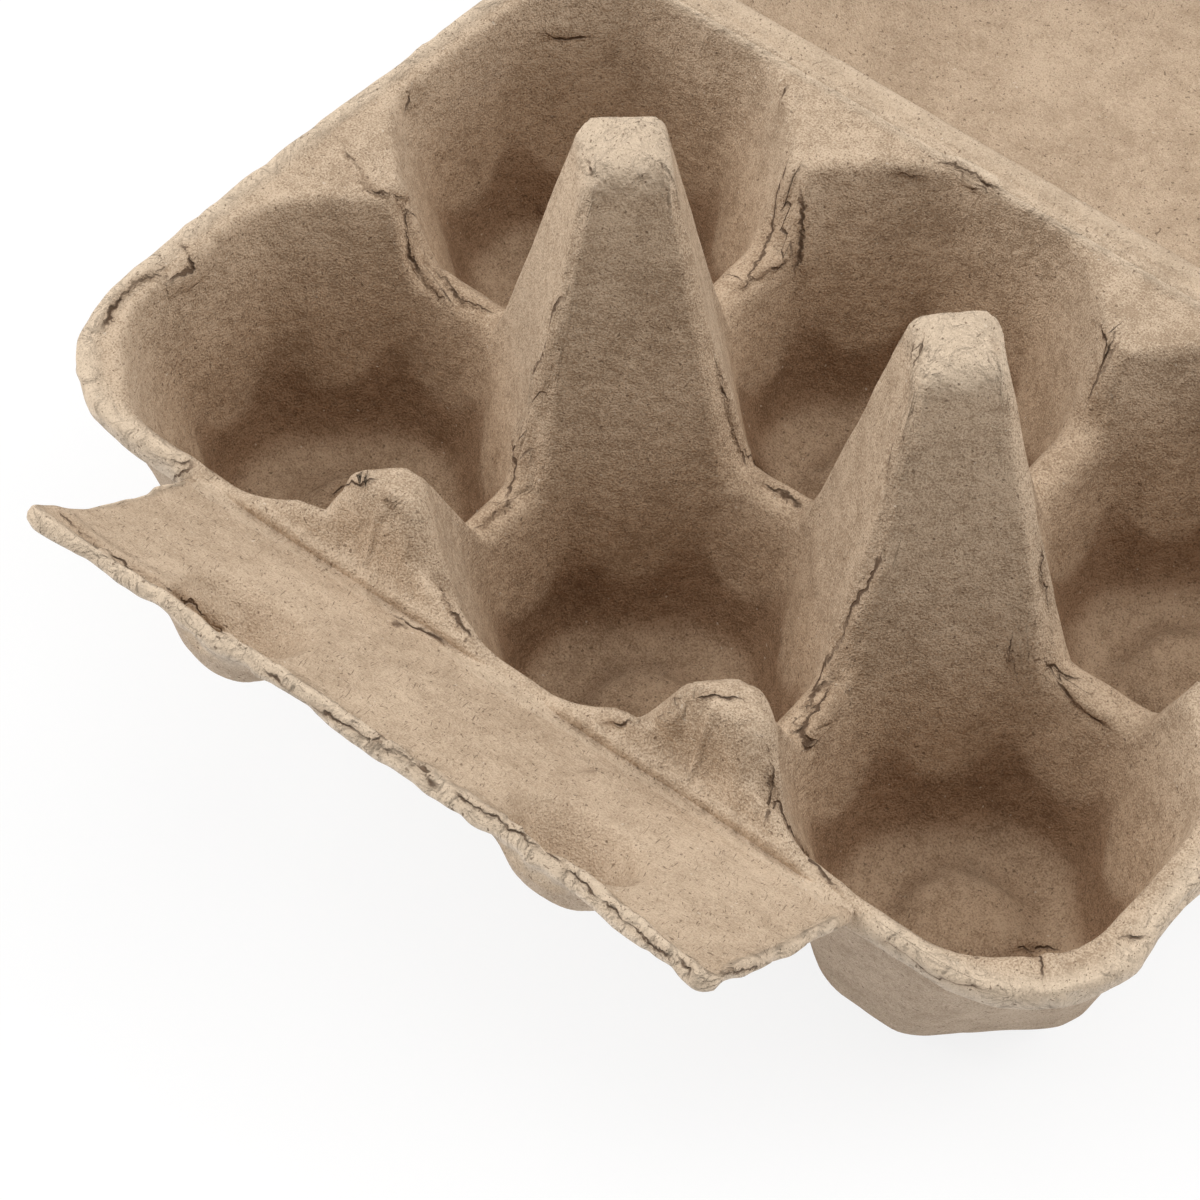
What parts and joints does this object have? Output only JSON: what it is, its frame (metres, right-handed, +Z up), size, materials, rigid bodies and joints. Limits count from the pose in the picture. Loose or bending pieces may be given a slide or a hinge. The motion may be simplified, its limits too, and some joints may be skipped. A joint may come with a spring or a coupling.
{
  "type": "egg carton",
  "caption": "Small moulded pulp egg carton standing open, with hollow posts between its cells, a deep lid laid back flat and a closure flap with buttons.",
  "frame": {"origin": "middle of the footprint of the open carton, on the table", "axes": "+X runs along the three cells of a row, +Y points from the flap over the tray to the opened lid, +Z is up"},
  "size_m": [0.153, 0.2338, 0.0705],
  "materials": {
    "pulp": "matt fibrous moulded pulp"
  },
  "bodies": {
    "tray": {"tray": "pulp"},
    "lid": {"lid": "pulp"},
    "closure_flap": {"closure_flap": "pulp"}
  },
  "joints": [
    {"name": "lid_hinge", "type": "hinge", "parent": "tray", "child": "lid", "pos_m": [0, 0.01052, 0.03715], "axis": [1, 0, 0], "range_deg": [0, 180]},
    {"name": "flap_fold", "type": "hinge", "parent": "tray", "child": "closure_flap", "pos_m": [0, -0.09008, 0.037], "axis": [-1, 0, 0], "range_deg": [-31, 79]}
  ]
}
